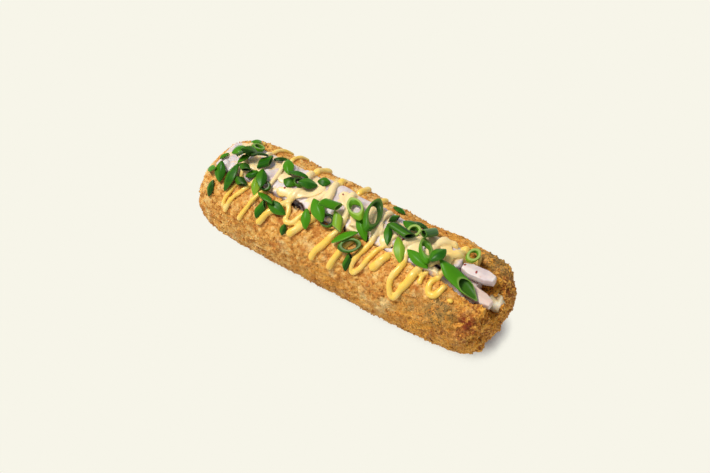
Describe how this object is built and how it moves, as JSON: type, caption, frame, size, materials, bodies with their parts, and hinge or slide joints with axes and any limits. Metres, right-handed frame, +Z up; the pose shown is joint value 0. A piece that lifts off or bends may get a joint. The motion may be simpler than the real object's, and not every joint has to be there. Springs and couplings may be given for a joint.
{
  "type": "chicken hot dog roll",
  "caption": "Deep-fried crumbed rice roll, slit along the top and filled with chicken, with a zig-zag sauce drizzle and sliced green onion.",
  "frame": {"origin": "centre of the roll's outline, on the surface it rests on", "axes": "+X along the roll towards the end with the deep notch, +Y towards the back, +Z up"},
  "size_m": [0.194, 0.0609, 0.0689],
  "materials": {
    "crust": "rough golden crumb, dry and matt",
    "rice": "moist, slightly translucent cooked rice",
    "chicken": "moist cooked chicken under a thin pale sauce",
    "sauce": "thick glossy yellow sauce",
    "green_onion": "moist, satin green skin with pale cut edges"
  },
  "bodies": {
    "root": {"crust": "crust", "rice": "rice", "chicken_filling": "chicken", "chicken_strip_1": "chicken", "chicken_strip_2": "chicken", "scallion_01": "green_onion", "scallion_02": "green_onion", "scallion_03": "green_onion", "scallion_04": "green_onion", "scallion_05": "green_onion", "scallion_06": "green_onion", "scallion_07": "green_onion", "scallion_08": "green_onion", "scallion_09": "green_onion", "scallion_10": "green_onion", "scallion_11": "green_onion", "scallion_12": "green_onion", "scallion_13": "green_onion", "scallion_14": "green_onion", "scallion_15": "green_onion", "scallion_16": "green_onion", "scallion_17": "green_onion", "scallion_18": "green_onion", "scallion_19": "green_onion", "scallion_20": "green_onion", "scallion_21": "green_onion", "scallion_22": "green_onion", "scallion_23": "green_onion", "scallion_24": "green_onion", "scallion_25": "green_onion", "scallion_26": "green_onion", "scallion_27": "green_onion", "scallion_28": "green_onion", "scallion_29": "green_onion", "scallion_30": "green_onion", "scallion_31": "green_onion", "scallion_32": "green_onion", "scallion_33": "green_onion", "scallion_34": "green_onion", "scallion_35": "green_onion", "scallion_36": "green_onion", "scallion_37": "green_onion", "scallion_38": "green_onion", "scallion_39": "green_onion", "scallion_40": "green_onion", "scallion_41": "green_onion", "scallion_42": "green_onion", "scallion_43": "green_onion", "scallion_44": "green_onion", "scallion_45": "green_onion", "scallion_46": "green_onion", "scallion_47": "green_onion", "scallion_48": "green_onion", "scallion_49": "green_onion", "scallion_50": "green_onion", "scallion_51": "green_onion", "scallion_52": "green_onion", "scallion_53": "green_onion", "scallion_54": "green_onion", "scallion_55": "green_onion"}
  },
  "joints": []
}
